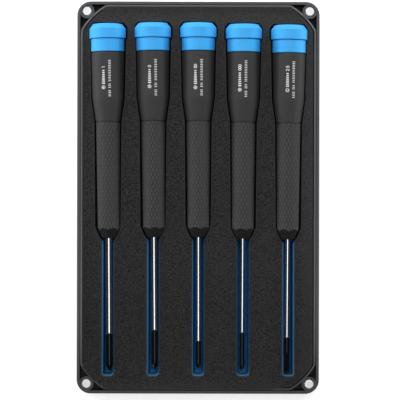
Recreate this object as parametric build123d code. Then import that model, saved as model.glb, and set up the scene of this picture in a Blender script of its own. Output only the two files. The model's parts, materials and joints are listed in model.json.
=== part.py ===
from build123d import *
import os
from collections import namedtuple
from math import radians, sqrt, tan

# Precision screwdriver set: five drivers with swivel caps, lying half sunk in the foam of an open case.
# Millimetres. +Z is up, +Y points to the driver caps, and the origin is the middle of the case's underside.

# Case tray
CASE_WIDTH = 110.0
CASE_LENGTH = 178.0
CASE_HEIGHT = 12.4
CASE_CORNER_RADIUS = 6.3
CASE_FLOOR = 1.6
BOTTOM_EDGE_RADIUS = 1.0
RIM_EDGE_RADIUS = 0.5
OUTER_WALL = 1.35
WALL_GAP = 0.3
INNER_WALL = 0.75
INNER_WALL_TOP = 12.1
WALL_GAP_DEPTH = 1.5
CORNER_POCKET_FLOOR = 2.2
CORNER_POCKET_REACH = 16.0

# Foam well in the tray: a rectangle whose corners are cut off by shallow arcs that bulge outwards
WELL_WIDTH = CASE_WIDTH - 2 * (OUTER_WALL + WALL_GAP + INNER_WALL)
WELL_LENGTH = CASE_LENGTH - 2 * (OUTER_WALL + WALL_GAP + INNER_WALL)
CORNER_CUT = 10.8
CORNER_CUT_RADIUS = 30.6
CORNER_CUT_BLEND = 3.0

# Closing magnets, one in a round boss at each corner
BOSS_RADIUS = 3.35
BOSS_INSET = 4.4
BOSS_CHAMFER = 0.5
MAGNET_RADIUS = 2.1
MAGNET_HEIGHT = 2.0
MAGNET_CHAMFER = 0.4

# Foam insert: a blue block with a thin black skin on top
FOAM_GAP = 0.3
FOAM_TOP = 11.5
SKIN_THICKNESS = 0.8

# Pockets in the foam: floors, and half widths at the landmarks of a driver
DRIVER_AXIS_Z = 11.5
DRIVER_PITCH = 20.5
CAP_POCKET_FLOOR = 2.9
HANDLE_POCKET_FLOOR = 3.6
GRIP_POCKET_FLOOR = 5.6
CHANNEL_FLOOR = 4.6
END_GAP = 0.45
CAP_POCKET_HALF_WIDTH = 8.7
COLLAR_POCKET_HALF_WIDTH = 7.95
TAPER_POCKET_HALF_WIDTH = 7.55
GRIP_POCKET_HALF_WIDTH = 6.05
NOSE_POCKET_HALF_WIDTH = 5.65
NOSE_POCKET_Y = -12.6
THROAT_HALF_WIDTH = 3.75
THROAT_Y = -17.0
CHANNEL_HALF_WIDTH = 2.7
CHANNEL_TOP_Y = -18.2
CHANNEL_END_Y = -81.0
CHANNEL_CORNER_RADIUS = 1.3

# Landmarks along a driver that has no end play, from the cap down to the tip
CAP_END_Y = 79.8
CAP_BOTTOM_Y = 72.9
COLLAR_TOP_Y = 72.65
COLLAR_BOTTOM_Y = 66.9
SHOULDER_Y = 56.0
TAPER_TOP_Y = 45.8
TAPER_MIDDLE_Y = 39.5
GROOVE_Y = 35.1
GRIP_END_Y = -13.4
NOSE_END_Y = -17.6
TIP_Y = -77.85

# Swivel cap and its cover disc
CAP_RADIUS = 8.25
CAP_CHAMFER_RADIAL = 1.6
CAP_CHAMFER_AXIAL = 2.1
CAP_DOME = 0.35
CAP_EDGE_FILLET = 0.25
CAP_CHAMFER_FILLET = 0.4
DISC_RADIUS = 3.6
DISC_BOTTOM_Y = 79.0
HEAD_WELL_RADIUS = 3.2
HUB_TOP_Y = 76.2
HUB_BORE_RADIUS = 1.5
SPIGOT_RECESS_RADIUS = 4.9
SPIGOT_RECESS_TOP_Y = 74.9

# Headed pin that the cap turns on
PIN_RADIUS = 1.47
PIN_BOTTOM_Y = 60.0
PIN_HEAD_RADIUS = 2.7
PIN_HEAD_BOTTOM_Y = 76.35
PIN_HEAD_TOP_Y = 77.55

# Handle core: a hard moulding whose collar shows under the cap, and whose ribbed stem is inside the grip
COLLAR_RADIUS = 7.5
COLLAR_FILLET = 0.4
SPIGOT_RADIUS = 4.6
SPIGOT_TOP_Y = 74.6
STEM_RADIUS = 4.6
STEM_NECK_RADIUS = 3.4
STEM_TAPER_TOP_Y = 46.0
STEM_TAPER_END_Y = 34.0
STEM_END_Y = -12.0
RIB_COUNT = 6
RIB_HEIGHT = 0.8
RIB_WIDTH = 0.9
RIB_END_MARGIN = 2.0

# Overmoulded grip
GRIP_TOP_Y = 66.45
GRIP_TOP_BEVEL = 0.3
GRIP_RADIUS_TOP = 7.4
GRIP_RADIUS_SHOULDER = 7.2
GRIP_RADIUS_TAPER_TOP = 7.0
GRIP_RADIUS_TAPER_MIDDLE = 6.1
GRIP_RADIUS_GROOVE = 5.5
GROOVE_WIDTH = 0.4
GROOVE_DEPTH = 0.2
KNURL_RADIUS_TOP = 5.4
KNURL_RADIUS_END = 4.9
NOSE_FACETS = 6
NOSE_TAPER_ANGLE = 26.0
FACET_TOP_Y = -12.9
NOSE_BEVEL_RADIUS = 3.1
NOSE_BEVEL_Y = -17.1
NOSE_END_RADIUS = 2.4

# Blades
SHANK_END_Y = 24.0
WING_MIDDLE_Y = 8.0
WING_LENGTH = 8.0
WING_OVERHANG = 0.55
CROSS_CONE_ANGLE = 26.5
CROSS_POINT_RADIUS = 0.3
FLUTE_RISE_ANGLE = 12.0
FLUTE_OPENING_ANGLE = 92.0
FLUTE_CORE_SHARE = 0.22
SLOT_TIP_THICKNESS = 0.4
SLOT_WEDGE_LENGTH = 9.0

# The five drivers from left to right: kind of tip, rod radius, how much deeper than the others the blade
# sits in its core, and how each driver lies in its pocket, as end play along Y, lean about Z at the middle
# of the handle, and roll about its own axis
Driver = namedtuple("Driver", "name tip rod_radius seating end_play lean roll")
DRIVERS = [
    Driver("cross_1", "cross", 1.6, 0.0, -0.85, 0.45, 0.0),
    Driver("cross_0", "cross", 1.4, 0.25, -0.4, 0.46, -24.0),
    Driver("cross_00", "cross", 1.2, 0.7, -0.35, 0.16, 12.0),
    Driver("cross_000", "cross", 1.05, 0.35, -0.9, -0.2, 18.0),
    Driver("slot_2_5", "slot", 1.25, 0.0, -1.3, -0.3, 4.0),
]
LEAN_CENTRE_Y = 40.0


def driver_x(index):
    """X of the pocket that the driver of this number lies in."""
    return (index - (len(DRIVERS) - 1) / 2) * DRIVER_PITCH


def lay_in_case(shape, index):
    """Moves a shape made along the Y axis to its place in the case, with its roll, end play and lean."""
    driver = DRIVERS[index]
    rolled = Pos(0, driver.end_play, 0) * Rot(0, driver.roll, 0) * shape
    leaned = Pos(0, LEAN_CENTRE_Y, 0) * Rot(0, 0, driver.lean) * Pos(0, -LEAN_CENTRE_Y, 0) * rolled
    return Pos(driver_x(index), 0, DRIVER_AXIS_Z) * leaned


def turned(points):
    """Solid of revolution about the Y axis, from a closed outline of (radius, y) points."""
    return revolve(make_face(Polyline(*points, close=True)), Axis.Y)


def rod(radius, low_y, high_y):
    """Round rod along the Y axis."""
    return turned([(0, low_y), (radius, low_y), (radius, high_y), (0, high_y)])


def raised(shape, height):
    """The shape moved up."""
    return Pos(0, 0, height) * shape


def corner_bosses():
    """The places of the four corner bosses."""
    return GridLocations(CASE_WIDTH - 2 * BOSS_INSET, CASE_LENGTH - 2 * BOSS_INSET, 2, 2)


def well_outline(growth=0.0):
    """Outline of the foam well, grown by a margin on every side."""
    half_width = WELL_WIDTH / 2
    half_length = WELL_LENGTH / 2
    sagitta = CORNER_CUT_RADIUS - sqrt(CORNER_CUT_RADIUS**2 - CORNER_CUT**2 / 2)
    inset = CORNER_CUT / 2 - sagitta / sqrt(2)
    arcs = []
    for side_x, side_y in ((1, 1), (-1, 1), (-1, -1), (1, -1)):
        on_side = (side_x * half_width, side_y * (half_length - CORNER_CUT))
        on_end = (side_x * (half_width - CORNER_CUT), side_y * half_length)
        middle = (side_x * (half_width - inset), side_y * (half_length - inset))
        start, finish = (on_side, on_end) if side_x * side_y > 0 else (on_end, on_side)
        arcs.append(ThreePointArc(start, middle, finish))
    sides = [Line(arc @ 1, following @ 0) for arc, following in zip(arcs, arcs[1:] + arcs[:1])]
    outline = make_face(arcs + sides)
    outline = fillet(outline.vertices(), CORNER_CUT_BLEND)
    return offset(outline, growth) if growth else outline


def case_tray():
    """Moulded tray: floor, outer wall, foam-retaining inner wall and a magnet boss in each corner."""
    block = extrude(RectangleRounded(CASE_WIDTH, CASE_LENGTH, CASE_CORNER_RADIUS), CASE_HEIGHT)
    block = fillet(block.faces().sort_by(Axis.Z)[0].edges(), BOTTOM_EDGE_RADIUS)
    block = fillet(block.faces().sort_by(Axis.Z)[-1].edges(), RIM_EDGE_RADIUS)
    inside = RectangleRounded(
        CASE_WIDTH - 2 * OUTER_WALL, CASE_LENGTH - 2 * OUTER_WALL, CASE_CORNER_RADIUS - OUTER_WALL
    )
    corner_square = Rectangle(2 * CORNER_POCKET_REACH, 2 * CORNER_POCKET_REACH)
    corner_zones = Sketch() + [place * corner_square for place in GridLocations(CASE_WIDTH, CASE_LENGTH, 2, 2)]
    bosses = Sketch() + [place * Circle(BOSS_RADIUS) for place in corner_bosses()]
    between_walls = inside - well_outline(INNER_WALL) - bosses
    tray = block - raised(extrude(inside, CASE_HEIGHT), INNER_WALL_TOP)
    tray -= raised(extrude(well_outline(), CASE_HEIGHT), CASE_FLOOR)
    tray -= raised(extrude(between_walls, CASE_HEIGHT), INNER_WALL_TOP - WALL_GAP_DEPTH)
    tray -= raised(extrude(between_walls & corner_zones, CASE_HEIGHT), CORNER_POCKET_FLOOR)
    magnet_hole = raised(extrude(Circle(MAGNET_RADIUS), CASE_HEIGHT), INNER_WALL_TOP - MAGNET_HEIGHT)
    flare = raised(extrude(Circle(MAGNET_RADIUS), BOSS_CHAMFER, taper=-45), INNER_WALL_TOP - BOSS_CHAMFER)
    for place in corner_bosses():
        tray -= place * magnet_hole
        tray -= place * flare
    return tray


def corner_magnet():
    """Disc magnet with a bevelled face level with its boss."""
    disc = raised(extrude(Circle(MAGNET_RADIUS), MAGNET_HEIGHT), INNER_WALL_TOP - MAGNET_HEIGHT)
    return chamfer(disc.faces().sort_by(Axis.Z)[-1].edges(), MAGNET_CHAMFER)


def hollow(right_side, floor):
    """Hollow from a floor up through the foam. Its plan is symmetric, from (half width, y) points."""
    left_side = [(-half_width, y) for half_width, y in reversed(right_side)]
    return raised(extrude(make_face(Polyline(*right_side, *left_side, close=True)), CASE_HEIGHT), floor)


def shaft_channel():
    """Round-cornered channel that the blade hangs in."""
    length = CHANNEL_TOP_Y - CHANNEL_END_Y
    plan = Pos(0, CHANNEL_END_Y + length / 2) * Rectangle(2 * CHANNEL_HALF_WIDTH, length)
    plan = fillet(plan.vertices().sort_by(Axis.Y)[:2], CHANNEL_CORNER_RADIUS)
    return raised(extrude(plan, CASE_HEIGHT), CHANNEL_FLOOR)


def pocket(index):
    """Stepped hollow that one driver lies in: it follows the driver's outline and end play."""
    cap_hollow = hollow([
        (CAP_POCKET_HALF_WIDTH, CAP_BOTTOM_Y - END_GAP),
        (CAP_POCKET_HALF_WIDTH, CAP_END_Y + END_GAP - CAP_CHAMFER_AXIAL),
        (CAP_POCKET_HALF_WIDTH - CAP_CHAMFER_RADIAL, CAP_END_Y + END_GAP),
    ], CAP_POCKET_FLOOR)
    handle_hollow = hollow([
        (GRIP_POCKET_HALF_WIDTH, GROOVE_Y),
        (TAPER_POCKET_HALF_WIDTH, TAPER_TOP_Y),
        (COLLAR_POCKET_HALF_WIDTH, COLLAR_BOTTOM_Y),
        (COLLAR_POCKET_HALF_WIDTH, CAP_BOTTOM_Y),
    ], HANDLE_POCKET_FLOOR)
    grip_hollow = hollow([
        (CHANNEL_HALF_WIDTH, CHANNEL_TOP_Y),
        (THROAT_HALF_WIDTH, THROAT_Y),
        (NOSE_POCKET_HALF_WIDTH, NOSE_POCKET_Y),
        (GRIP_POCKET_HALF_WIDTH, GROOVE_Y),
    ], GRIP_POCKET_FLOOR)
    handle_pocket = Pos(0, DRIVERS[index].end_play, 0) * (cap_hollow + handle_hollow + grip_hollow)
    return Pos(driver_x(index), 0, 0) * (handle_pocket + shaft_channel())


def foam_insert():
    """Blue foam block and its black top skin, both with the five pockets cut out."""
    skin_bottom = FOAM_TOP - SKIN_THICKNESS
    outline = well_outline(-FOAM_GAP)
    block = raised(extrude(outline, skin_bottom - CASE_FLOOR), CASE_FLOOR)
    skin = raised(extrude(outline, SKIN_THICKNESS), skin_bottom)
    for index in range(len(DRIVERS)):
        driver_pocket = pocket(index)
        block -= driver_pocket
        skin -= driver_pocket
    return block, skin


def cap_and_disc():
    """Swivel cap with its hub, head well and spigot recess, and the disc that closes the well."""
    end_rim = (CAP_RADIUS - CAP_CHAMFER_RADIAL, CAP_END_Y - CAP_DOME)
    side = Polyline(
        (0, CAP_END_Y),
        (0, CAP_BOTTOM_Y),
        (CAP_RADIUS, CAP_BOTTOM_Y),
        (CAP_RADIUS, CAP_END_Y - CAP_DOME - CAP_CHAMFER_AXIAL),
        end_rim,
    )
    dome = TangentArc((0, CAP_END_Y), end_rim, tangent=(1, 0))
    body = revolve(make_face([side, dome]), Axis.Y)
    bottom_edge = body.edges().filter_by(GeomType.CIRCLE).sort_by(Axis.Y)[0]
    body = fillet(bottom_edge, CAP_EDGE_FILLET)
    chamfer_edges = body.edges().filter_by(GeomType.CIRCLE).sort_by(Axis.Y)[-2:]
    body = fillet(chamfer_edges, CAP_CHAMFER_FILLET)
    disc_zone = rod(DISC_RADIUS, DISC_BOTTOM_Y, CAP_END_Y + CAP_DOME)
    cap = body - disc_zone
    cap -= rod(HEAD_WELL_RADIUS, HUB_TOP_Y, DISC_BOTTOM_Y)
    cap -= rod(HUB_BORE_RADIUS, CAP_BOTTOM_Y, HUB_TOP_Y)
    cap -= rod(SPIGOT_RECESS_RADIUS, CAP_BOTTOM_Y, SPIGOT_RECESS_TOP_Y)
    return cap, body & disc_zone


def cap_pivot():
    """Headed steel pin, pressed into the core."""
    shank = rod(PIN_RADIUS, PIN_BOTTOM_Y, PIN_HEAD_BOTTOM_Y)
    return shank + rod(PIN_HEAD_RADIUS, PIN_HEAD_BOTTOM_Y, PIN_HEAD_TOP_Y)


def cross_flutes(radius):
    """Four V-shaped cuts that rise from the point to the rod's surface and leave a cross."""
    reach = radius / tan(radians(FLUTE_RISE_ANGLE))
    depth = 2 * radius
    half_opening = depth * tan(radians(FLUTE_OPENING_ANGLE / 2))
    vee = make_face(Polyline((0, 0), (depth, half_opening), (depth, -half_opening), close=True))
    prism = extrude(Plane.XZ * vee, reach, both=True)
    flute = Pos(radius * FLUTE_CORE_SHARE, TIP_Y, 0) * Rot(0, 0, -FLUTE_RISE_ANGLE) * prism
    return [Rot(0, 45 + 90 * quarter, 0) * flute for quarter in range(4)]


def slot_flats(radius):
    """Two cuts that leave a wedge with a blunt straight edge."""
    wedge_top = TIP_Y + SLOT_WEDGE_LENGTH
    outline = Polyline(
        (TIP_Y, SLOT_TIP_THICKNESS / 2),
        (wedge_top, radius),
        (wedge_top, 2 * radius),
        (TIP_Y, 2 * radius),
        close=True,
    )
    flat = extrude(Plane.YZ * make_face(outline), 2 * radius, both=True)
    return [flat, Rot(0, 180, 0) * flat]


def blade(driver):
    """Steel blade: a rod with a cross or slot tip, and wings that the handle core is moulded around."""
    radius = driver.rod_radius
    if driver.tip == "cross":
        cone_top = TIP_Y + (radius - CROSS_POINT_RADIUS) / tan(radians(CROSS_CONE_ANGLE))
        steel = turned([
            (0, TIP_Y),
            (CROSS_POINT_RADIUS, TIP_Y),
            (radius, cone_top),
            (radius, SHANK_END_Y),
            (0, SHANK_END_Y),
        ])
        cuts = cross_flutes(radius)
    else:
        steel = rod(radius, TIP_Y, SHANK_END_Y)
        cuts = slot_flats(radius)
    for cut in cuts:
        steel -= cut
    wings = Box(2 * (radius + WING_OVERHANG), WING_LENGTH, radius)
    return Pos(0, driver.seating, 0) * (steel + Pos(0, WING_MIDDLE_Y, 0) * wings)


def core_ribs(low_y, high_y, stem_radius):
    """Ribs round the stem that key the grip to it."""
    length = high_y - low_y
    rib = Pos(stem_radius, low_y + length / 2, 0) * Box(2 * RIB_HEIGHT, length, RIB_WIDTH)
    return [Rot(0, number * 360 / RIB_COUNT, 0) * rib for number in range(RIB_COUNT)]


def core_blank():
    """Outside of the handle core: collar, cap spigot and ribbed stem."""
    blank = turned([
        (0, STEM_END_Y),
        (STEM_NECK_RADIUS, STEM_END_Y),
        (STEM_NECK_RADIUS, STEM_TAPER_END_Y),
        (STEM_RADIUS, STEM_TAPER_TOP_Y),
        (STEM_RADIUS, COLLAR_BOTTOM_Y),
        (COLLAR_RADIUS, COLLAR_BOTTOM_Y),
        (COLLAR_RADIUS, COLLAR_TOP_Y),
        (SPIGOT_RADIUS, COLLAR_TOP_Y),
        (SPIGOT_RADIUS, SPIGOT_TOP_Y),
        (0, SPIGOT_TOP_Y),
    ])
    collar_edges = blank.edges().filter_by(lambda edge: edge.geom_type == GeomType.CIRCLE
                                           and abs(edge.radius - COLLAR_RADIUS) < RIM_EDGE_RADIUS)
    blank = fillet(collar_edges.sort_by(Axis.Y)[0], COLLAR_FILLET)
    neck_ribs = core_ribs(STEM_END_Y + RIB_END_MARGIN, STEM_TAPER_END_Y - RIB_END_MARGIN, STEM_NECK_RADIUS)
    stem_ribs = core_ribs(STEM_TAPER_TOP_Y + RIB_END_MARGIN, GRIP_TOP_Y - RIB_END_MARGIN, STEM_RADIUS)
    return blank + neck_ribs + stem_ribs


def grip_blank():
    """Outside of the grip: smooth handle, groove, plain knurl zone and six-sided nose."""
    blank = turned([
        (0, NOSE_END_Y),
        (NOSE_END_RADIUS, NOSE_END_Y),
        (NOSE_BEVEL_RADIUS, NOSE_BEVEL_Y),
        (KNURL_RADIUS_END, GRIP_END_Y),
        (KNURL_RADIUS_TOP, GROOVE_Y - GROOVE_WIDTH / 2),
        (KNURL_RADIUS_TOP - GROOVE_DEPTH, GROOVE_Y - GROOVE_WIDTH / 2),
        (KNURL_RADIUS_TOP - GROOVE_DEPTH, GROOVE_Y + GROOVE_WIDTH / 2),
        (GRIP_RADIUS_GROOVE, GROOVE_Y + GROOVE_WIDTH / 2),
        (GRIP_RADIUS_TAPER_MIDDLE, TAPER_MIDDLE_Y),
        (GRIP_RADIUS_TAPER_TOP, TAPER_TOP_Y),
        (GRIP_RADIUS_SHOULDER, SHOULDER_Y),
        (GRIP_RADIUS_TOP, GRIP_TOP_Y - GRIP_TOP_BEVEL),
        (GRIP_RADIUS_TOP - GRIP_TOP_BEVEL, GRIP_TOP_Y),
        (0, GRIP_TOP_Y),
    ])
    facet_length = FACET_TOP_Y - NOSE_END_Y
    end_apothem = KNURL_RADIUS_END - facet_length * tan(radians(NOSE_TAPER_ANGLE))
    hexagon = RegularPolygon(end_apothem, NOSE_FACETS, major_radius=False, rotation=180 / NOSE_FACETS)
    nose_plane = Plane(origin=(0, NOSE_END_Y, 0), x_dir=(1, 0, 0), z_dir=(0, 1, 0))
    nose = extrude(nose_plane * hexagon, 2 * facet_length, taper=-NOSE_TAPER_ANGLE)
    waste = rod(2 * KNURL_RADIUS_END, NOSE_END_Y, NOSE_END_Y + 2 * facet_length) - nose
    return blank - waste


def driver_parts(driver):
    """The six pieces of one driver, along the Y axis."""
    steel = blade(driver)
    pin = cap_pivot()
    core = core_blank()
    cap, disc = cap_and_disc()
    return {
        "blade": steel,
        "handle_core": core - steel - pin,
        "handle_grip": grip_blank() - core - steel,
        "cap_pivot": pin,
        "swivel_cap": cap,
        "cap_disc": disc,
    }


def all_parts():
    """Every piece of the set, by node name, in its place."""
    block, skin = foam_insert()
    pieces = {"case_tray": case_tray(), "foam_block": block, "foam_skin": skin}
    corner_names = ("bottom_left", "top_left", "bottom_right", "top_right")
    for name, place in zip(corner_names, corner_bosses()):
        pieces["magnet_" + name] = place * corner_magnet()
    for index, driver in enumerate(DRIVERS):
        for kind, shape in driver_parts(driver).items():
            pieces[kind + "_" + driver.name] = lay_in_case(shape, index)
    return pieces


os.makedirs("parts", exist_ok=True)
for node, piece in all_parts().items():
    export_step(piece, "parts/" + node + ".step")
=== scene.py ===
import json
import math

import bmesh
import bpy
import numpy as np
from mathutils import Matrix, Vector, kdtree, noise
from mathutils.geometry import delaunay_2d_cdt


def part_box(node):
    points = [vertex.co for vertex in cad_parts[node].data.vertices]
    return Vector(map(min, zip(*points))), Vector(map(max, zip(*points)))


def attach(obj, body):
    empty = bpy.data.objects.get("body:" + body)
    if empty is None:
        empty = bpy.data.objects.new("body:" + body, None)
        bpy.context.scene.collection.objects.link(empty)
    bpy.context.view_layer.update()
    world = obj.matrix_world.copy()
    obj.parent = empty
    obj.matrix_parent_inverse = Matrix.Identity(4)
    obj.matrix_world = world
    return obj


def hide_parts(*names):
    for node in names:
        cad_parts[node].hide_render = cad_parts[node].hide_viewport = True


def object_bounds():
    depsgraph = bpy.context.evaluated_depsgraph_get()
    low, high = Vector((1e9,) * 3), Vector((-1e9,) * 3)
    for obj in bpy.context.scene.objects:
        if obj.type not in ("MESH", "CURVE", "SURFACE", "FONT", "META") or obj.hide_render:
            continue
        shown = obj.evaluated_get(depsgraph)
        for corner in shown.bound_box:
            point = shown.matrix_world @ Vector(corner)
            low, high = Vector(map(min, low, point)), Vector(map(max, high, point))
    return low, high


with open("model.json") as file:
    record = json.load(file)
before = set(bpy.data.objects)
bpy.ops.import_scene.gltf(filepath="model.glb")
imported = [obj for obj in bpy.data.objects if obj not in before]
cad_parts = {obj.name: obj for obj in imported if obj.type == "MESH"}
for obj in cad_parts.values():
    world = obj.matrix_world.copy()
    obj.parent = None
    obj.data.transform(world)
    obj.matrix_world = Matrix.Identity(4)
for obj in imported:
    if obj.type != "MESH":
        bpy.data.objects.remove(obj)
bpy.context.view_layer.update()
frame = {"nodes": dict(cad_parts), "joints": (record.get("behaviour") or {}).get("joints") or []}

# Lengths in this script are millimetres and angles degrees, until a mesh, lamp or camera is made.
MM = 0.001
RANDOM = np.random.default_rng(7)

# Landmarks along a driver. The cap's joint is at the cap's middle.
CAP_MIDDLE = 76.0
GRIP_TOP = 66.45
SHOULDER = 56.0
TAPER_TOP = 45.8
TAPER_MIDDLE = 39.5
GROOVE = 35.1
GRIP_END = -13.4
NOSE_END = -17.6

# Grip: (y, radius) down the smooth handle, then the knurl and the six-sided nose
TOP_BEVEL = 0.3
TOP_RADIUS = 7.4
HANDLE_PROFILE = [
    (GRIP_TOP - TOP_BEVEL, TOP_RADIUS),
    (SHOULDER, 7.2),
    (TAPER_TOP, 7.0),
    (TAPER_MIDDLE, 6.1),
    (GROOVE, 5.46),
]
NECK_RADIUS = 6.8
NECK_LENGTH = 0.4
GROOVE_HALF_WIDTH = 0.2
GROOVE_DEPTH = 0.22
KNURL_TOP_RADIUS = 5.4
KNURL_END_RADIUS = 4.9
KNURL_STARTS = 20
KNURL_PERIOD = 3.6
KNURL_DEPTH = 0.26
KNURL_MARGIN = 0.5
NOSE_RADII = [(GRIP_END, 4.9), (-17.1, 3.1), (NOSE_END, 2.4)]
NOSE_FACETS = 6
NOSE_TAPER = 26.0
FACET_TOP = -12.9
NOSE_CUSP = 1.0
KNURL_SEGMENTS = 12
KNURL_RING_STEP = 0.3

# Case: the inner wall of the rim is lower than the outer one
RIM_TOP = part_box("case_tray")[1].z / MM
INNER_WALL_DROP = 0.3
BOSS_RADIUS = 3.5

# Foam: the soft edge of the skin, and how far it moves and rises where it laps over the rim; the draft, cove
# and lip of the block's pockets
EDGE_ROUND = 0.35
OUTLINE_STEP = 0.3
OUTLINE_PASSES = 3
CHANNEL_DRAFT = 0.25
CHANNEL_COVE = 0.6
END_COVE = 1.3
POCKET_DRAFT = 0.18
POCKET_COVE = 0.14
RIPPLE = 0.03
DRAPE_CLEARANCE = 0.3
DRAPE_THICKNESS = 0.45
END_LIP = 0.5
# Painted light on the blue lips, for each ring from the mouth down, and round the channels' ends
LIP_PAINTED_LIGHT = (1.0, 1.0, 1.0, 0.8, 0.5, 0.2)
END_PAINTED_LIGHT = 0.5
EDGE_LINE = 0.25
SKIN_SAG = 0.03
LAP_SHIFT = 1.0
LAP_RISE = 0.78
HEAD_SHIFT = 0.65
HEAD_RISE = 0.7
SNUG_SHIFT = 0.25
LOOSE_SHIFT = 0.12
CAP_POCKET_END = 72.45
CHANNEL_TOP = -18.2
CAP_FLOOR = 2.9
HANDLE_FLOOR = 3.6
GRIP_FLOOR = 5.6
CHANNEL_FLOOR = 4.6
POCKETS_HALF_WIDTH = 50.5

# Each driver: radius of its rod, roll of the grip about its axis, rounding of its channel's left and right
# lip, roll of the print, size mark, tip, and where the black tip starts
DRIVERS = {
    "cross_1": {"rod": 1.6, "roll": 0.0, "lips": (0.8, 0.3),
                "print_roll": -2.4, "size": "1", "tip": "cross", "black": -61.5},
    "cross_0": {"rod": 1.4, "roll": -24.0, "lips": (0.8, 0.12),
                "print_roll": 0.0, "size": "0", "tip": "cross", "black": -59.9},
    "cross_00": {"rod": 1.2, "roll": 12.0, "lips": (0.55, 0.15),
                 "print_roll": 0.8, "size": "00", "tip": "cross", "black": -64.8},
    "cross_000": {"rod": 1.05, "roll": 18.0, "lips": (0.2, 0.15),
                  "print_roll": -4.0, "size": "000", "tip": "cross", "black": -61.0},
    "slot_2_5": {"rod": 1.25, "roll": 4.0, "lips": (0.75, 0.7),
                 "print_roll": 4.0, "size": "2.5", "tip": "slot", "black": -63.1},
}


# ---------------------------------------------------------------- geometry helpers

class Shell:
    """Points in millimetres and faces of one mesh, added piece by piece."""

    def __init__(self):
        self.points = []
        self.faces = []

    def add(self, points):
        """Adds points and returns their numbers."""
        start = len(self.points)
        self.points.extend(map(tuple, points))
        return np.arange(start, len(self.points))

    def band(self, rings, closed=True):
        """Quads between rings of equally many points."""
        for low, high in zip(rings, rings[1:]):
            a, b = (np.append(low, low[0]), np.append(high, high[0])) if closed else (low, high)
            self.faces.extend(zip(a[:-1].tolist(), a[1:].tolist(), b[1:].tolist(), b[:-1].tolist()))

    def fan(self, ring, centre):
        """Triangles from a ring to one point."""
        middle = int(self.add([centre])[0])
        self.faces.extend((int(a), int(b), middle) for a, b in zip(ring, np.roll(ring, -1)))

    def fill(self, rings, height, spacing):
        """Triangles inside the first ring and outside the others, over jittered inner points."""
        outlines = [np.array([self.points[i][:2] for i in ring]) for ring in rings]
        edge_points = np.vstack(outlines)
        tree = kdtree.KDTree(len(edge_points))
        for number, (x, y) in enumerate(edge_points):
            tree.insert((x, y, 0), number)
        tree.balance()
        low, high = edge_points.min(0), edge_points.max(0)
        columns = np.arange(low[0], high[0], spacing)
        grid = np.stack(np.meshgrid(columns, np.arange(low[1], high[1], spacing)), -1)
        inner = grid.reshape(-1, 2) + RANDOM.uniform(-0.3, 0.3, (grid.size // 2, 2)) * spacing
        inner = inner[inside(inner, outlines)]
        inner = [p for p in inner if tree.find((p[0], p[1], 0))[2] > 0.55 * spacing]
        inner = np.array(inner).reshape(-1, 2)
        numbers = np.concatenate([*rings, self.add([(x, y, height(x, y)) for x, y in inner])])
        flat = [Vector(p) for p in np.vstack([edge_points, inner])]
        edges, start = [], 0
        for ring in rings:
            count = len(ring)
            edges += [(start + k, start + (k + 1) % count) for k in range(count)]
            start += count
        places, _, triangles, origin, _, _ = delaunay_2d_cdt(flat, edges, [], 0, 1e-7)
        crossing = {k: int(self.add([(p.x, p.y, height(p.x, p.y))])[0])
                    for k, (p, o) in enumerate(zip(places, origin)) if not o}
        number_of = [crossing[k] if k in crossing else numbers[o[0]] for k, o in enumerate(origin)]
        number_of = np.array(number_of)
        triangles = np.array(triangles)
        centres = np.array(places)[triangles].mean(1)
        self.faces.extend(map(tuple, number_of[triangles[inside(centres, outlines)]].tolist()))

    def build(self, name, material, smooth_angle=40.0):
        """The Blender object, in metres, with outward normals."""
        mesh = bpy.data.meshes.new(name)
        mesh.from_pydata([(x * MM, y * MM, z * MM) for x, y, z in self.points], [], self.faces)
        work = bmesh.new()
        work.from_mesh(mesh)
        bmesh.ops.recalc_face_normals(work, faces=work.faces)
        sharp = math.radians(smooth_angle)
        for edge in work.edges:
            edge.smooth = not edge.is_manifold or edge.calc_face_angle(0) < sharp
        for face in work.faces:
            face.smooth = True
        work.to_mesh(mesh)
        work.free()
        mesh.materials.append(material)
        piece = bpy.data.objects.new(name, mesh)
        bpy.context.scene.collection.objects.link(piece)
        return piece


def inside(points, outlines):
    """True for points inside the first outline and outside the others."""
    result = np.zeros(len(points), bool)
    for outline in outlines:
        following = np.roll(outline, -1, 0)
        crossings = np.zeros(len(points), bool)
        for (ax, ay), (bx, by) in zip(outline, following):
            if ay == by:
                continue
            spans = (points[:, 1] < ay) != (points[:, 1] < by)
            crossings ^= spans & (points[:, 0] < ax + (points[:, 1] - ay) * (bx - ax) / (by - ay))
        result ^= crossings
    return result


def wave(x, y, z, size):
    """Smooth noise, from about -1 to 1, with features of this size."""
    return noise.noise(Vector((x, y, z)) / size)


def smoothstep(value, low, high):
    """0 below low, 1 above high, and smooth between them."""
    t = np.clip((np.asarray(value, float) - low) / (high - low), 0, 1)
    return t * t * (3 - 2 * t)


def top_outlines(node):
    """Outlines of the flat top of a CAD node, as rings of (x, y): the outside first, then holes by X."""
    mesh = frame["nodes"][node].data
    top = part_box(node)[1].z
    count = {}
    for face in mesh.polygons:
        corners = [tuple(round(c / MM, 3) for c in mesh.vertices[i].co) for i in face.vertices]
        if all(abs(c[2] - top / MM) < 0.01 for c in corners):
            for a, b in zip(corners, corners[1:] + corners[:1]):
                count[frozenset((a[:2], b[:2]))] = count.get(frozenset((a[:2], b[:2])), 0) + 1
    links = {}
    for edge, uses in count.items():
        if uses == 1:
            a, b = edge
            links.setdefault(a, []).append(b)
            links.setdefault(b, []).append(a)
    rings = []
    while links:
        start = min(links)
        ring, here, before = [], start, None
        while here in links:
            ring.append(here)
            onward = [p for p in links.pop(here) if p != before]
            before, here = here, onward[0] if onward[0] in links else onward[-1]
        rings.append(np.array(ring))
    rings.sort(key=lambda ring: -np.ptp(ring[:, 0]))
    return [rings[0]] + sorted(rings[1:], key=lambda ring: ring[:, 0].mean())


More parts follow.
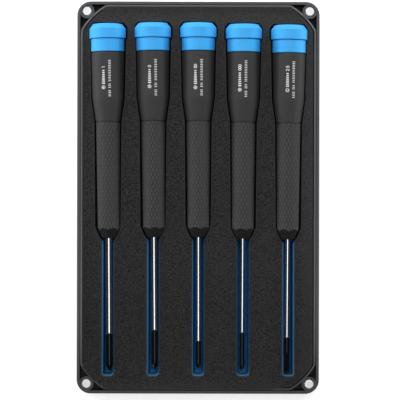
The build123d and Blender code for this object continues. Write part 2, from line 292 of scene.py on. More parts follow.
def even_ring(ring, step, passes):
    """The ring resampled at even steps, counter-clockwise, with its corners softened."""
    following = np.roll(ring, -1, 0)
    if np.sum(ring[:, 0] * following[:, 1] - following[:, 0] * ring[:, 1]) < 0:
        ring = ring[::-1]
    closed = np.vstack([ring, ring[:1]])
    along = np.append(0, np.cumsum(np.hypot(*np.diff(closed, axis=0).T)))
    at = np.linspace(0, along[-1], round(along[-1] / step), endpoint=False)
    ring = np.column_stack([np.interp(at, along, closed[:, k]) for k in (0, 1)])
    for _ in range(passes):
        ring = (np.roll(ring, 1, 0) + 2 * ring + np.roll(ring, -1, 0)) / 4
    return ring


def grown(ring, distance):
    """The ring moved outwards by a distance, or by one distance for each point."""
    tangent = np.roll(ring, -1, 0) - np.roll(ring, 1, 0)
    tangent /= np.hypot(*tangent.T)[:, None]
    return ring + np.column_stack([tangent[:, 1], -tangent[:, 0]]) * np.reshape(distance, (-1, 1))


class Axis:
    """Frame of one driver: along its axis towards the cap, across it, and up."""

    def __init__(self, name):
        joint = next(j for j in frame["joints"] if j["name"] == "cap_spin_" + name)
        self.along = np.array(joint["axis"], float)
        self.across = np.array([self.along[1], -self.along[0], 0.0])
        self.up = np.array([0.0, 0.0, 1.0])
        self.origin = np.array(joint["pos_m"], float) / MM - CAP_MIDDLE * self.along
        self.height = joint["pos_m"][2] / MM
        self.end_play = joint["pos_m"][1] / MM - CAP_MIDDLE

    def points(self, radius, y, angle):
        """Points at a distance from the axis, at a place along it, and at an angle from straight up."""
        radius, y, angle = np.broadcast_arrays(radius, y, angle)
        return (self.origin + y[..., None] * self.along + (radius * np.sin(angle))[..., None] * self.across
                + (radius * np.cos(angle))[..., None] * self.up)


AXES = {name: Axis(name) for name in DRIVERS}


# ---------------------------------------------------------------- materials

class Finish:
    """Short calls for one node material. Positions are in millimetres, in the piece's own frame."""

    def __init__(self, name, **constants):
        self.material = bpy.data.materials.new(name)
        self.material.use_nodes = True
        self.tree = self.material.node_tree
        self.shader = self.tree.nodes["Principled BSDF"]
        for socket, value in constants.items():
            self.shader.inputs[socket.replace("_", " ")].default_value = value
        place = self.add("ShaderNodeTexCoord").outputs["Object"]
        self.place = self.vector("SCALE", {0: place, "Scale": 1 / MM})

    def add(self, kind, inputs=(), **settings):
        node = self.tree.nodes.new(kind)
        for name, value in settings.items():
            setattr(node, name, value)
        for key, value in dict(inputs).items():
            if isinstance(value, bpy.types.NodeSocket):
                self.tree.links.new(value, node.inputs[key])
            else:
                node.inputs[key].default_value = value
        return node

    def vector(self, operation, inputs, output=0):
        return self.add("ShaderNodeVectorMath", inputs, operation=operation).outputs[output]

    def stretched(self, factors):
        return self.vector("MULTIPLY", {0: self.place, 1: factors})

    def noise(self, size, detail=3.0, rough=0.55, place=None):
        values = {"Vector": place or self.place, "Scale": 1 / size, "Detail": detail, "Roughness": rough}
        return self.add("ShaderNodeTexNoise", values).outputs[0]

    def cells(self, size):
        return self.add("ShaderNodeTexVoronoi", {"Vector": self.place, "Scale": 1 / size}).outputs["Distance"]

    def ramp(self, value, low, high, bottom=0.0, top=1.0):
        values = {0: value, 1: low, 2: high, 3: bottom, 4: top}
        return self.add("ShaderNodeMapRange", values, interpolation_type="SMOOTHSTEP").outputs[0]

    def sum(self, a, b):
        return self.add("ShaderNodeMath", {0: a, 1: b}, operation="ADD").outputs[0]

    def product(self, a, b):
        return self.add("ShaderNodeMath", {0: a, 1: b}, operation="MULTIPLY").outputs[0]

    def mix(self, factor, a, b):
        return self.add("ShaderNodeMix", {0: factor, 6: a, 7: b}, data_type="RGBA").outputs[2]

    def axis(self, number):
        return self.add("ShaderNodeSeparateXYZ", {0: self.place}).outputs[number]

    def attribute(self, name):
        return self.add("ShaderNodeAttribute", attribute_name=name).outputs["Fac"]

    def bump(self, *layers):
        """Stacks (height 0 to 1, depth in millimetres) layers."""
        normal = None
        for height, depth in layers:
            values = {"Height": height, "Distance": depth * MM, "Strength": 1.0}
            if normal:
                values["Normal"] = normal
            normal = self.add("ShaderNodeBump", values).outputs[0]
        self.link(normal, "Normal")

    def link(self, value, socket):
        self.tree.links.new(value, self.shader.inputs[socket])


def rgb(r, g, b):
    return (r, g, b, 1.0)


def case_plastic():
    """Black moulded plastic with scuffs. Painted light on the rim's top fades out towards the bottom of the
    case, and a painted highlight lies on the lower inner rim.
    """
    finish = Finish("case_plastic")
    finish.shader.inputs["Specular IOR Level"].default_value = 0.2
    grain = finish.cells(0.32)
    cloud = finish.noise(9.0, 4)
    scuff = finish.noise(2.2, 6, 0.7, finish.stretched((1.0, 0.12, 1.0)))
    worn = finish.ramp(scuff, 0.62, 0.75)
    base = finish.mix(cloud, rgb(0.050, 0.050, 0.051), rgb(0.061, 0.061, 0.062))
    # Painted light on the rim's top, fading out towards the bottom of the case.
    top = finish.ramp(finish.axis(2), RIM_TOP - 0.5, RIM_TOP - 0.4)
    painted_rim_light = finish.product(top, finish.ramp(finish.axis(1), -88.0, -50.0))
    base = finish.mix(finish.product(painted_rim_light, 0.4), base, rgb(0.125, 0.125, 0.126))
    # Painted highlight on the top of the lower inner wall, kept off the magnet bosses.
    wall_top = RIM_TOP - INNER_WALL_DROP
    painted_wall_highlight = finish.product(painted_rim_light, finish.ramp(finish.axis(2), wall_top + 0.15, wall_top + 0.05, 0.0, 0.8))
    low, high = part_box("magnet_top_right")
    middle = (low + high) / 2 / MM
    corner = finish.vector("ABSOLUTE", {0: finish.stretched((1.0, 1.0, 0.0))})
    boss = finish.vector("DISTANCE", {0: corner, 1: (middle.x, middle.y, 0.0)}, "Value")
    painted_wall_highlight = finish.product(painted_wall_highlight, finish.ramp(boss, BOSS_RADIUS, BOSS_RADIUS + 0.4))
    base = finish.mix(painted_wall_highlight, base, rgb(0.17, 0.17, 0.171))
    finish.link(finish.mix(worn, base, rgb(0.090, 0.090, 0.091)), "Base Color")
    finish.link(finish.ramp(cloud, 0.3, 0.7, 0.46, 0.56), "Roughness")
    finish.bump((grain, 0.02), (scuff, 0.01))
    return finish.material


def foam_skin_finish():
    """Speckled black foam, with painted light on the right and at the top, painted shade towards the bottom,
    warmer round the caps, and a painted highlight on its rounded edges.
    """
    finish = Finish("black_foam_skin", Roughness=0.9)
    finish.shader.inputs["Specular IOR Level"].default_value = 0.15
    speckle = finish.noise(0.42, 4, 0.8)
    pores = finish.cells(0.8)
    cloud = finish.noise(24.0, 3)
    dark = finish.mix(cloud, rgb(0.006, 0.006, 0.0062), rgb(0.008, 0.008, 0.0082))
    light = finish.mix(cloud, rgb(0.057, 0.057, 0.057), rgb(0.067, 0.067, 0.067))
    shade = finish.mix(finish.ramp(speckle, 0.39, 0.61), dark, light)
    shade = finish.mix(finish.ramp(pores, 0.16, 0.05), shade, rgb(0.006, 0.006, 0.006))
    # Painted light on the foam right of the last driver and at the top end.
    painted_light_side = finish.ramp(finish.axis(0), 44.0, 53.0, 0.0, 0.36)
    painted_light_head = finish.ramp(finish.axis(1), 66.0, 86.0, 0.0, 0.08)
    shade = finish.mix(finish.sum(painted_light_side, painted_light_head), shade, rgb(0.085, 0.085, 0.086))
    # Painted shade, darker towards the bottom.
    shade = finish.mix(finish.ramp(finish.axis(1), 10.0, -60.0, 0.0, 0.3), shade, rgb(0.004, 0.004, 0.004))
    shade = finish.mix(finish.ramp(finish.axis(1), 46.0, 72.0, 0.0, 0.3), shade, rgb(0.056, 0.045, 0.030))
    # Painted highlight along the rounded edges of the skin.
    edge = finish.product(finish.attribute("edge"), 0.55)
    finish.link(finish.mix(edge, shade, rgb(0.058, 0.059, 0.061)), "Base Color")
    finish.bump((speckle, 0.12), (pores, 0.06))
    return finish.material


def foam_block_finish():
    """Blue foam, with painted light on the lips and ends of the channels, and painted shade, near black, in the
    pockets round the handles.
    """
    finish = Finish("blue_foam", Roughness=0.8)
    finish.shader.inputs["Specular IOR Level"].default_value = 0.25
    speckle = finish.noise(0.5, 5, 0.7)
    pores = finish.cells(0.7)
    shade = finish.mix(finish.ramp(speckle, 0.35, 0.68), rgb(0.003, 0.10, 0.27), rgb(0.008, 0.13, 0.34))
    shade = finish.mix(finish.ramp(pores, 0.2, 0.05), shade, rgb(0.002, 0.060, 0.16))
    # Painted light on the lips and ends of the channels.
    shade = finish.mix(finish.product(finish.attribute("lip"), 0.8), shade, rgb(0.060, 0.19, 0.34))
    # Painted shade: near black in the pockets round the handles.
    finish.link(finish.mix(finish.attribute("dark"), shade, rgb(0.002, 0.003, 0.004)), "Base Color")
    finish.bump((speckle, 0.08), (pores, 0.05))
    return finish.material


def blue_plastic():
    finish = Finish("blue_plastic")
    finish.shader.inputs["Specular IOR Level"].default_value = 0.35
    grain = finish.noise(0.18, 3)
    cloud = finish.noise(5.0, 3)
    handling = finish.noise(1.6, 6, 0.7)
    base = finish.mix(cloud, rgb(0.040, 0.40, 0.90), rgb(0.050, 0.44, 0.94))
    finish.link(finish.mix(finish.ramp(handling, 0.66, 0.8), base, rgb(0.075, 0.47, 0.93)), "Base Color")
    finish.link(finish.ramp(handling, 0.3, 0.7, 0.46, 0.56), "Roughness")
    finish.bump((grain, 0.008), (handling, 0.006))
    return finish.material


def grip_rubber():
    """Black rubber, worn on the crests of the knurl, with a matt nose painted near black as shade."""
    finish = Finish("black_grip")
    finish.shader.inputs["Specular IOR Level"].default_value = 0.4
    grain = finish.noise(0.22, 4, 0.7)
    cloud = finish.noise(7.0, 4)
    dust = finish.noise(1.3, 6, 0.75)
    crest = finish.attribute("crest")
    base = finish.mix(cloud, rgb(0.027, 0.027, 0.0272), rgb(0.033, 0.033, 0.0332))
    worn = finish.sum(finish.ramp(crest, 0.6, 1.0, 0.0, 0.6), finish.ramp(dust, 0.55, 0.8, 0.0, 0.3))
    base = finish.mix(worn, base, rgb(0.060, 0.060, 0.060))
    # Painted shade: the nose, which faces away from the light, is made near black.
    finish.link(finish.mix(finish.attribute("nose"), base, rgb(0.002, 0.002, 0.0022)), "Base Color")
    matt = finish.ramp(dust, 0.3, 0.7, 0.55, 0.66)
    finish.link(finish.sum(matt, finish.product(finish.attribute("nose"), 0.3)), "Roughness")
    finish.bump((grain, 0.02), (dust, 0.01))
    return finish.material


def blade_steel(name):
    """Brushed steel with a painted reflection of the blue foam on its flanks, and a blackened tip with a ragged
    border.
    """
    driver = DRIVERS[name]
    axis_height = AXES[name].height
    finish = Finish("blade_steel_" + name)
    finish.shader.inputs["Specular IOR Level"].default_value = 0.25
    brushed = finish.noise(0.09, 4, 0.6, finish.stretched((1.0, 0.03, 1.0)))
    spots = finish.noise(0.8, 5, 0.7)
    ragged = finish.sum(finish.axis(1), finish.product(spots, 0.5))
    bright = finish.ramp(ragged, driver["black"], driver["black"] + 0.35)
    steel = finish.mix(spots, rgb(0.58, 0.585, 0.60), rgb(0.68, 0.685, 0.70))
    # Painted reflection: below its crown the rod is tinted with the blue of the foam.
    crown = axis_height + 0.88 * driver["rod"]
    painted_flank_reflection = finish.ramp(finish.axis(2), crown, axis_height + 0.68 * driver["rod"], 0.0, 0.7)
    steel = finish.mix(painted_flank_reflection, steel, rgb(0.20, 0.38, 0.60))
    oxide = finish.mix(spots, rgb(0.0008, 0.0008, 0.001), rgb(0.002, 0.002, 0.0024))
    finish.link(finish.mix(bright, oxide, steel), "Base Color")
    finish.link(bright, "Metallic")
    shine = finish.ramp(brushed, 0.3, 0.7, 0.07, 0.13)
    finish.link(finish.sum(shine, finish.ramp(bright, 0.0, 1.0, 0.08, 0.0)), "Roughness")
    finish.bump((brushed, 0.002))
    return finish.material


def plain_metal(name, dark, light, rough):
    finish = Finish(name, Metallic=1.0)
    brushed = finish.noise(0.15, 5, 0.65)
    cloud = finish.noise(1.4, 4)
    finish.link(finish.mix(cloud, rgb(*dark), rgb(*light)), "Base Color")
    finish.link(finish.ramp(brushed, 0.3, 0.7, rough, rough + 0.1), "Roughness")
    finish.bump((brushed, 0.004))
    return finish.material


def magnet_nickel():
    """Pale satin nickel with a painted highlight ring round the face."""
    finish = Finish("magnet_nickel", Metallic=0.4)
    brushed = finish.noise(0.15, 5, 0.65)
    cloud = finish.noise(1.4, 4)
    span = finish.add("ShaderNodeTexCoord").outputs["Generated"]
    flat = finish.vector("MULTIPLY", {0: span, 1: (1.0, 1.0, 0.0)})
    reach = finish.vector("DISTANCE", {0: flat, 1: (0.5, 0.5, 0.0)}, "Value")
    disc = finish.mix(cloud, rgb(0.76, 0.76, 0.762), rgb(0.81, 0.81, 0.812))
    # Painted highlight: a lighter ring round the face.
    finish.link(finish.mix(finish.ramp(reach, 0.29, 0.34), disc, rgb(0.93, 0.93, 0.93)), "Base Color")
    finish.link(finish.ramp(brushed, 0.3, 0.7, 0.42, 0.52), "Roughness")
    finish.bump((brushed, 0.004))
    return finish.material


def white_ink():
    finish = Finish("white_ink")
    wear = finish.noise(0.25, 5, 0.7)
    ink = finish.mix(finish.ramp(wear, 0.25, 0.5), rgb(0.45, 0.45, 0.45), rgb(0.82, 0.82, 0.82))
    finish.link(ink, "Base Color")
    finish.link(finish.ramp(wear, 0.3, 0.7, 0.45, 0.6), "Roughness")
    finish.bump((wear, 0.004))
    return finish.material


def paper():
    finish = Finish("paper", Roughness=0.9, Emission_Color=rgb(1.0, 1.0, 1.0), Emission_Strength=0.6)
    fibre = finish.noise(2.0, 4)
    finish.link(finish.mix(fibre, rgb(0.88, 0.88, 0.88), rgb(0.9, 0.9, 0.9)), "Base Color")
    return finish.material


FINISHES = {
    "case_tray": case_plastic(),
    "foam_block": foam_block_finish(),
    "foam_skin": foam_skin_finish(),
    "magnet": magnet_nickel(),
    "cap_pivot": plain_metal("pivot_steel", (0.5, 0.5, 0.51), (0.6, 0.6, 0.61), 0.25),
    "plastic": blue_plastic(),
    "grip": grip_rubber(),
    "ink": white_ink(),
}


# ---------------------------------------------------------------- foam

def pocket_floor(end_play, y):
    """Height of a pocket's floor at a place along it."""
    y = np.asarray(y, float) - end_play
    in_grip = smoothstep(y, CHANNEL_TOP - 0.2, CHANNEL_TOP + 0.3)
    floor = CHANNEL_FLOOR + (GRIP_FLOOR - CHANNEL_FLOOR) * in_grip
    floor = floor + (HANDLE_FLOOR - GRIP_FLOOR) * smoothstep(y, GROOVE, GROOVE + 0.5)
    return floor + (CAP_FLOOR - HANDLE_FLOOR) * smoothstep(y, CAP_POCKET_END, CAP_POCKET_END + 0.4)


def lip_width(outline, axis, lips):
    """Rounding of a channel's lip: one width on its left, one on its right and one round its end."""
    left, right = lips
    side = (outline - axis.origin[:2]) @ axis.across[:2]
    width = left + (right - left) * smoothstep(side, -0.8, 0.8)
    return width + (END_LIP - width) * channel_end(outline)


def channel_end(outline):
    """1 at the closed end of a channel, and 0 along it."""
    end = outline[:, 1].min()
    return 1 - smoothstep(outline[:, 1], end + 0.6, end + 2.4)


def with_height(ring, height):
    return np.column_stack([ring, np.broadcast_to(height, len(ring))])


def edge_shift(ring):
    """How far the skin's edge lies outside its nominal outline, and how high it has ridden up on the rim."""
    x, y = ring.T
    lap = smoothstep(-y, 84.2, 86.0) + (1 - smoothstep(x, -46.5, -45.0)) * smoothstep(-y, 74.5, 77.0)
    lap = np.clip(lap, 0, 1) * (1 - smoothstep(x, 33.0, 40.0))
    head = smoothstep(y, 84.8, 86.0) * (1 - lap)
    snug = (1 - smoothstep(x, -52.0, -51.5)) * (1 - lap)
    loose = smoothstep(x, 51.0, 52.0)
    shift = LAP_SHIFT * lap + HEAD_SHIFT * head + SNUG_SHIFT * snug - LOOSE_SHIFT * loose
    return shift, LAP_RISE * lap + HEAD_RISE * head


def foam():
    """The black skin and the blue block, both with the drivers' pockets."""
    outlines = [even_ring(ring, OUTLINE_STEP, OUTLINE_PASSES) for ring in top_outlines("foam_skin")]
    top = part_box("foam_skin")[1].z / MM
    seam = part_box("foam_skin")[0].z / MM
    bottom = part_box("foam_block")[0].z / MM

    def hidden_part(outline, axis):
        """1 round the grip, where the skin is drawn down into the pocket, and 0 along the channel."""
        return smoothstep(outline[:, 1] - axis.end_play, CHANNEL_TOP - 1.2, CHANNEL_TOP + 0.2)

    lapped = outlines[0][edge_shift(outlines[0])[1] > 0.05]
    lap_tree = kdtree.KDTree(len(lapped))
    for number, (x, y) in enumerate(lapped):
        lap_tree.insert((x, y, 0), number)
    lap_tree.balance()

    def skin_height(x, y):
        waves = 0.03 * wave(x, y, 0, 9.0) + 0.015 * wave(x, y, 5, 1.8)
        near = 1 - min(1.0, lap_tree.find((x, y, 0))[2] / 3.5)
        return top - SKIN_SAG + waves + 0.6 * near * near

    skin = Shell()
    upper, lower, edge_points = [], [], []
    for number, outline in enumerate(outlines):
        if number == 0:
            shift, rise = edge_shift(outline)
            side = -1
            edge = grown(outline, shift)
            rings = [skin.add(with_height(edge, seam))]
        else:
            rise = 0.0
            axis = list(AXES.values())[number - 1]
            drape = hidden_part(outline, axis)
            back = grown(outline, 0.02 + (DRAPE_THICKNESS - 0.02) * drape)
            floor = pocket_floor(axis.end_play, outline[:, 1])
            hem = seam - 0.02 - (seam - floor - DRAPE_CLEARANCE) * drape
            rings = [skin.add(with_height(back, seam)), skin.add(with_height(back, hem)),
                     skin.add(with_height(outline, hem))]
            side = 1
            edge = outline
        lower.append(rings[0])
        for step in range(6):
            turn = math.radians(90 * step / 5)
            ring = grown(edge, side * EDGE_ROUND * (1 - math.cos(turn)))
            fall = SKIN_SAG + EDGE_ROUND * (1 - math.sin(turn))
            rings.append(skin.add(with_height(ring, top - fall + rise)))
            edge_points.extend(rings[-1] if step > 1 else [])
        border = grown(edge, side * (EDGE_ROUND + EDGE_LINE))
        rings.append(skin.add(with_height(border, top - SKIN_SAG + rise)))
        skin.band(rings)
        upper.append(rings[-1])
    skin.fill(upper, skin_height, 1.3)
    skin.fill(lower, lambda x, y: seam, 6.0)
    skin_piece = skin.build("foam_skin_soft", FINISHES["foam_skin"])
    # Marks the rounded edges for the skin's painted highlight.
    edges = np.zeros(len(skin.points), np.float32)
    edges[edge_points] = 1.0
    skin_piece.data.attributes.new("edge", "FLOAT", "POINT").data.foreach_set("value", edges)

    block = Shell()
    outer = outlines[0]
    side_rings = [block.add(with_height(outer, z)) for z in (bottom, (bottom + seam) / 2, seam)]
    block.band(side_rings)
    block.fill(side_rings[:1], lambda x, y: bottom, 6.0)
    mouths = []
    lips = []
    for skin_outline, (name, axis) in zip(outlines[1:], AXES.items()):
        hidden = hidden_part(skin_outline, axis)
        outline = grown(skin_outline, (DRAPE_THICKNESS + 0.03) * hidden)
        floor = pocket_floor(axis.end_play, outline[:, 1])
        draft = CHANNEL_DRAFT + (POCKET_DRAFT - CHANNEL_DRAFT) * hidden
        cove = CHANNEL_COVE + (POCKET_COVE - CHANNEL_COVE) * hidden
        cove = cove + (END_COVE - CHANNEL_COVE) * channel_end(outline)
        lip = lip_width(outline, axis, DRIVERS[name]["lips"]) * (1 - hidden)
        shoulder = 0.02 + lip
        rings = []
        for step in range(5):
            turn = math.radians(90 * step / 5)
            height = seam - shoulder * (1 - math.cos(turn))
            rings.append(with_height(grown(outline, -shoulder * math.sin(turn)), height))
        for share in np.linspace(0, 1, 9):
            height = seam - shoulder + (floor + cove - seam + shoulder) * share
            ripple = [RIPPLE * min(1, 4 * share) * wave(x, y, z, 1.1) for (x, y), z in zip(outline, height)]
            rings.append(with_height(grown(outline, -shoulder - draft * share + ripple), height))
        for step in range(1, 6):
            turn = math.radians(90 * step / 5)
            height = floor + cove * (1 - math.sin(turn))
            rings.append(with_height(grown(outline, -shoulder - draft - cove * (1 - math.cos(turn))), height))
        numbers = [block.add(ring) for ring in rings]
        block.band(numbers)
        # Painted light on the lips, ring by ring from the mouth, and round the channel's end.
        for number, ring in enumerate(numbers):
            shade = LIP_PAINTED_LIGHT[number] if number < len(LIP_PAINTED_LIGHT) else 0.0
            sides = shade * np.clip(lip / END_LIP, 0, 1)
            lips.append((ring, np.maximum(sides, END_PAINTED_LIGHT * channel_end(outline))))
        play = axis.end_play
        block.fill(numbers[-1:], lambda x, y: float(pocket_floor(play, y)), 0.9)
        mouths.append(numbers[0])
    block.fill([side_rings[-1], *mouths], lambda x, y: seam, 6.0)
    block_piece = block.build("foam_block_soft", FINISHES["foam_block"])
    shades = np.zeros(len(block.points), np.float32)
    for ring, shade in lips:
        shades[ring] = shade
    block_piece.data.attributes.new("lip", "FLOAT", "POINT").data.foreach_set("value", shades)
    # Painted shade: the block is made near black in the pockets round the handles.
    places = np.array(block.points)
    shades = smoothstep(places[:, 1], CHANNEL_TOP - 0.9, CHANNEL_TOP + 0.3)
    shades = (shades * (abs(places[:, 0]) < POCKETS_HALF_WIDTH)).astype(np.float32)
    block_piece.data.attributes.new("dark", "FLOAT", "POINT").data.foreach_set("value", shades)

    layers = (skin_piece, "foam_skin", "black_foam_skin"), (block_piece, "foam_block", "blue_foam")
    for piece, node, slot in layers:
        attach(piece, "case")
        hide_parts(node)


# ---------------------------------------------------------------- grips

def handle_radius(y):
    """Radius of the smooth handle at a place along it."""
    places, radii = zip(*reversed(HANDLE_PROFILE))
    return np.interp(y, places, radii)


def grip(name):
    """Overmoulded grip: smooth conical handle, groove, diamond knurl and six-sided nose."""
    axis, driver = AXES[name], DRIVERS[name]
    knurl_top = GROOVE - GROOVE_HALF_WIDTH
    stations = [(GRIP_TOP + NECK_LENGTH, NECK_RADIUS), (GRIP_TOP, NECK_RADIUS)]
    stations.append((GRIP_TOP, TOP_RADIUS - TOP_BEVEL))
    stations += [(GRIP_TOP - TOP_BEVEL * (1 - math.cos(t)), TOP_RADIUS - TOP_BEVEL * (1 - math.sin(t)))
                 for t in np.radians([30, 60, 90])]
    handle = [np.linspace(GRIP_TOP - 2 * TOP_BEVEL, SHOULDER, 14), np.linspace(SHOULDER, TAPER_TOP, 14)[1:]]
    handle += [np.linspace(TAPER_TOP, TAPER_MIDDLE, 12)[1:], np.linspace(TAPER_MIDDLE, GROOVE, 9)[1:-1]]
    for y in np.concatenate(handle):
        stations.append((y, float(handle_radius(y))))
    floor = KNURL_TOP_RADIUS - GROOVE_DEPTH
    stations += [(GROOVE + GROOVE_HALF_WIDTH + 0.05, float(handle_radius(GROOVE))),
                 (GROOVE + GROOVE_HALF_WIDTH, float(handle_radius(GROOVE)) - 0.05),
                 (GROOVE + 0.6 * GROOVE_HALF_WIDTH, floor), (GROOVE - 0.6 * GROOVE_HALF_WIDTH, floor),
                 (knurl_top, KNURL_TOP_RADIUS - 0.06)]
    smooth_rings = len(stations)
    knurl_rings = round((knurl_top - GRIP_END) / KNURL_RING_STEP)
    for y in np.linspace(knurl_top, GRIP_END, knurl_rings + 1)[1:]:
        share = (knurl_top - y) / (knurl_top - GRIP_END)
        stations.append((y, KNURL_TOP_RADIUS + (KNURL_END_RADIUS - KNURL_TOP_RADIUS) * share))
    places, radii = zip(*reversed(NOSE_RADII))
    for y in np.linspace(GRIP_END, NOSE_END, 30)[1:]:
        stations.append((y, float(np.interp(y, places, radii))))
    y, radius = np.array(stations).T
    count = KNURL_STARTS * KNURL_SEGMENTS
    angle = np.arange(count) * 2 * math.pi / count
    around = KNURL_STARTS * angle / (2 * math.pi)
    along = y[:, None] / KNURL_PERIOD
    groove = np.maximum(*(abs((lines % 1) - 0.5) * 2 for lines in (around + along, around - along)))
    depth = KNURL_DEPTH * smoothstep(groove, 0.5, 1.0)
    fade = smoothstep(knurl_top - y, 0.0, KNURL_MARGIN) * smoothstep(y, NOSE_END + 1.0, GRIP_END)
    fade[:smooth_rings] = 0
    surface = radius[:, None] - depth * fade[:, None]
    apothem = KNURL_END_RADIUS - (FACET_TOP - y) * math.tan(math.radians(NOSE_TAPER))
    facet = 2 * math.pi / NOSE_FACETS
    turn = (angle - math.radians(driver["roll"])) % facet - facet / 2
    flat = np.where(y < FACET_TOP, apothem, 99)[:, None] / np.cos(turn)[None, :]
    surface = np.minimum(surface, flat)
    points = axis.points(surface, y[:, None], angle[None, :])
    shell = Shell()
    rings = [shell.add(row) for row in points]
    shell.band(rings)
    shell.fan(rings[0], axis.points(0.0, GRIP_TOP + NECK_LENGTH, 0.0))
    shell.fan(rings[-1], axis.points(0.0, NOSE_END, 0.0))
    piece = shell.build("knurled_grip_" + name, FINISHES["grip"], 55.0)
    crest = np.append((1 - depth / KNURL_DEPTH) * fade[:, None], [[0.0]] * len(y), 1)[:, :count].ravel()
    values = np.concatenate([crest, [0.0, 0.0]]).astype(np.float32)
    piece.data.attributes.new("crest", "FLOAT", "POINT").data.foreach_set("value", values)
    # Marks the nose for its painted shade.
    scallop = FACET_TOP - NOSE_CUSP * (turn / (facet / 2)) ** 2
    nose = smoothstep(scallop[None, :] - y[:, None], -0.1, 0.2)
    values = np.append(nose.ravel(), [0.0, 1.0]).astype(np.float32)
    piece.data.attributes.new("nose", "FLOAT", "POINT").data.foreach_set("value", values)
    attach(piece, "driver_" + name)
    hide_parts("handle_grip_" + name)


# ---------------------------------------------------------------- print

def arc(cx, cy, rx, ry, start, finish, steps=10):
    """Points along part of an ellipse."""
    turns = np.radians(np.linspace(start, finish, steps))
    return [(cx + rx * math.cos(t), cy + ry * math.sin(t)) for t in turns]


GLYPH_WIDTH = 0.92
GLYPH_HEIGHT = 1.45
GLYPHS = {
    "0": [arc(0.46, 0.72, 0.38, 0.62, 90, 450, 25)],
    "1": [[(0.2, 1.1), (0.55, 1.38), (0.55, 0.05)]],
    "2": [arc(0.46, 0.98, 0.36, 0.38, 170, -35, 12) + [(0.08, 0.1), (0.86, 0.1)]],
    "5": [[(0.8, 1.34), (0.2, 1.34), (0.16, 0.78)] + arc(0.42, 0.48, 0.4, 0.38, 110, -140, 12)],
    ".": [[(0.3, 0.1), (0.5, 0.1)]],
}


class Print:
    """Thin ink marks on one handle: s runs towards the cap, and t to the left seen from above."""

    THICKNESS = 0.025
    SUNK = 0.03
    STEP = 0.16
    FINE = 0.24
    GLYPH_LINE = 0.26
    BAR = 0.3
    BLOCK = 0.55

    def __init__(self, name):
        self.axis = AXES[name]
        self.roll = math.radians(DRIVERS[name]["print_roll"])
        self.shell = Shell()

    def on_handle(self, flat, lift):
        s, t = np.asarray(flat, float).T
        radius = handle_radius(s)
        return self.axis.points(radius + lift, s, self.roll - t / radius)

    def stroke(self, path, width):
        """A ribbon of ink along a path of (s, t) points."""
        path = np.asarray(path, float)
        closed = np.allclose(path[0], path[-1])
        lengths = np.append(0, np.cumsum(np.hypot(*np.diff(path, axis=0).T)))
        at = np.linspace(0, lengths[-1], max(3, math.ceil(lengths[-1] / self.STEP)) + 1)
        at = np.unique(np.concatenate([at, lengths]).round(6))
        line = np.column_stack([np.interp(at, lengths, path[:, k]) for k in (0, 1)])
        if closed:
            line = line[:-1]
            tangent = np.roll(line, -1, 0) - np.roll(line, 1, 0)
        else:
            tangent = np.gradient(line, axis=0)
        tangent /= np.hypot(*tangent.T)[:, None]
        normal = np.column_stack([-tangent[:, 1], tangent[:, 0]]) * width / 2
        half = [(1.0, -self.SUNK), (1.0, self.THICKNESS * 0.6), (0.8, self.THICKNESS)]
        profile = half + [(-reach, lift) for reach, lift in reversed(half)]
        rows = [self.shell.add(self.on_handle(line + normal * reach, lift)) for reach, lift in profile]
        rows.append(rows[0])
        across = np.array(rows).T
        if closed:
            across = np.vstack([across, across[:1]])
        else:
            self.shell.faces += [tuple(across[0, :-1].tolist()), tuple(across[-1, :-1].tolist())]
        self.shell.band(list(across), closed=False)

    def glyph(self, character, s, t):
        for path in GLYPHS[character]:
            self.stroke([(s + x, t + y - GLYPH_HEIGHT / 2) for x, y in path], self.GLYPH_LINE)


BAR_GAPS = (4, 8)
ROWS_MIDDLE = 54.9


def handle_print(name):
    """Size mark: a picture of the tip, a row of blocks and the size, beside a longer row of fine bars."""
    driver = DRIVERS[name]
    ink = Print(name)
    row = 1.4
    size = driver["size"]
    widths = [0.55 if character == "." else GLYPH_WIDTH for character in size]
    blocks = 7
    pitch = 0.95
    picture = 2.3
    gap = 0.5
    length = picture + blocks * pitch + gap + sum(widths)
    s = ROWS_MIDDLE - length / 2
    ink.stroke(arc(s + 0.8, row, 0.72, 0.72, 0, 360, 33), ink.FINE)
    ink.stroke([(s + 0.8, row - 0.55), (s + 0.8, row + 0.55)], ink.FINE)
    if driver["tip"] == "cross":
        ink.stroke([(s + 0.25, row), (s + 1.35, row)], ink.FINE)
    s += picture
    for number in range(blocks):
        reach = 0.72 - 0.04 * number
        ink.stroke([(s + 0.3, row - reach), (s + 0.3, row + reach)], ink.BLOCK)
        s += pitch
    s += gap
    for character, width in zip(size, widths):
        ink.glyph(character, s, row)
        s += width
    bars = 22
    bar_pitch = 0.76
    start = ROWS_MIDDLE - 0.3 - (bars - 1) * bar_pitch / 2
    for number in range(bars):
        if number in BAR_GAPS:
            continue
        reach = 0.6 - 0.1 * (number % 3 == 1)
        place = start + number * bar_pitch
        ink.stroke([(place, -row - reach), (place, -row + reach)], ink.BAR)
    piece = ink.shell.build("size_print_" + name, FINISHES["ink"], 60.0)
    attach(piece, "driver_" + name)


# ---------------------------------------------------------------- carried-over CAD pieces

def dress_cad():
    """Gives every CAD piece its finish."""
    for node, piece in frame["nodes"].items():
        if node.startswith("blade_"):
            finish = blade_steel(node[len("blade_"):])
        elif node.startswith(("handle_core_", "swivel_cap_", "cap_disc_")):
            finish = FINISHES["plastic"]
        elif node.startswith("handle_grip_"):
            finish = FINISHES["grip"]
        elif node.startswith("magnet_"):
            finish = FINISHES["magnet"]
        elif node.startswith("cap_pivot_"):
            finish = FINISHES["cap_pivot"]
        else:
            finish = FINISHES[node]
        piece.data.materials.clear()
        piece.data.materials.append(finish)


# ---------------------------------------------------------------- studio

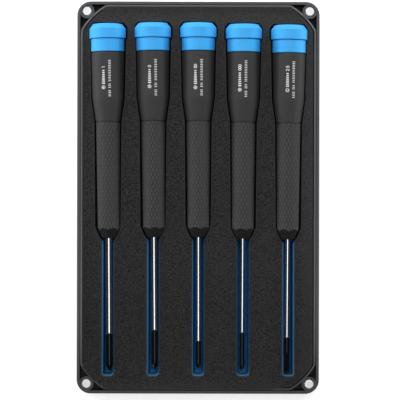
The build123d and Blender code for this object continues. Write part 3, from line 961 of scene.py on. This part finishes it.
# Side lamps, low round the object: azimuth and radiance, then their distance, height, target and size in metres
SIDE_LAMPS = ((145, 14.0), (215, 11.0), (35, 12.0), (-35, 9.0))
SIDE_DISTANCE = 0.8
SIDE_HEIGHT = 0.115
SIDE_TARGET = (0, 0, 0.012)
SIDE_SIZE = (0.5, 0.13)

# Camera, straight above the object: its distance, the width it sees, and its small offset, in metres
CAMERA_DISTANCE = 0.9
CAMERA_FIELD = 0.18148
CAMERA_OFFSET = (0.00086, -0.00107)
CAMERA_ROLL = 0.13

FLOOR_REACH = 3000.0
FLOOR_GAP = 0.00002


def area_light(name, place, target, size, radiance):
    data = bpy.data.lights.new(name, "AREA")
    data.shape = "RECTANGLE"
    data.size, data.size_y = size
    data.energy = math.pi * size[0] * size[1] * radiance
    lamp = bpy.data.objects.new(name, data)
    lamp.location = place
    lamp.rotation_mode = "QUATERNION"
    lamp.rotation_quaternion = (Vector(place) - Vector(target)).to_track_quat("Z", "Y")
    bpy.context.scene.collection.objects.link(lamp)


def studio():
    scene = bpy.context.scene
    world = bpy.data.worlds.new("world")
    world.use_nodes = True
    background = world.node_tree.nodes["Background"]
    background.inputs["Color"].default_value = rgb(0.9, 0.92, 1.0)
    background.inputs["Strength"].default_value = 0.05
    scene.world = world
    scene.view_settings.view_transform = "Standard"

    shell = Shell()
    corners = [(x * FLOOR_REACH, y * FLOOR_REACH, 0) for x, y in ((-1, -1), (1, -1), (1, 1), (-1, 1))]
    shell.faces.append(tuple(shell.add(corners).tolist()))
    floor = shell.build("floor", paper())
    floor.location.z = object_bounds()[0].z - FLOOR_GAP

    area_light("overhead", (0.02, 0.35, 1.3), (0, 0, 0), (0.75, 1.5), 2.15)
    area_light("key", (-0.15, 0.5, 0.55), (0, 0, 0), (2.4, 0.4), 1.8)
    for azimuth, radiance in SIDE_LAMPS:
        turn = math.radians(azimuth)
        place = (SIDE_DISTANCE * math.cos(turn), SIDE_DISTANCE * math.sin(turn), SIDE_HEIGHT)
        area_light("side", place, SIDE_TARGET, SIDE_SIZE, radiance)

    data = bpy.data.cameras.new("camera")
    data.sensor_width = 36.0
    data.lens = data.sensor_width * CAMERA_DISTANCE / CAMERA_FIELD
    data.clip_start, data.clip_end = 0.05, 20.0
    camera = bpy.data.objects.new("camera", data)
    camera.location = (*CAMERA_OFFSET, CAMERA_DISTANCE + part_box("case_tray")[1].z)
    camera.rotation_euler = (0.0, 0.0, math.radians(CAMERA_ROLL))
    scene.collection.objects.link(camera)
    scene.camera = camera


foam()
for driver_name in DRIVERS:
    grip(driver_name)
    handle_print(driver_name)
dress_cad()
studio()
